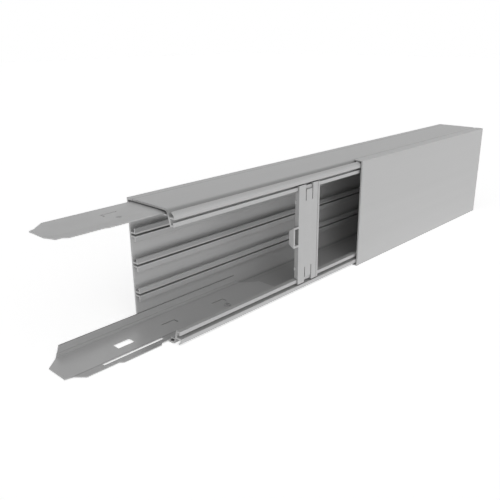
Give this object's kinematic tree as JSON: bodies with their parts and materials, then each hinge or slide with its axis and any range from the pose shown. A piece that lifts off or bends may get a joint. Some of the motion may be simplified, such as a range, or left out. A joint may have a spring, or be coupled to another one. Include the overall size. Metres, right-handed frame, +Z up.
{
  "type": "cord cover raceway",
  "caption": "Length of metal wall trunking open at the front, with a clip-on cover over its far half, a cable clip and sheet couplers at one end.",
  "frame": {"origin": "on the floor under the middle of the whole part, couplers included", "axes": "+X along the trough from the couplers to the covered end, +Y from the open front to the wall side, +Z up"},
  "size_m": [0.7096, 0.07, 0.13],
  "materials": {
    "trough_metal": "satin, fine lines along the extrusion",
    "cover_metal": "satin",
    "clip_plastic": "fine-grained grey moulding",
    "coupler_metal": "rolled sheet"
  },
  "bodies": {
    "root": {"base_profile": "trough_metal", "front_cover": "cover_metal", "retaining_clip": "clip_plastic", "upper_coupler": "coupler_metal", "lower_coupler": "coupler_metal"}
  },
  "joints": []
}
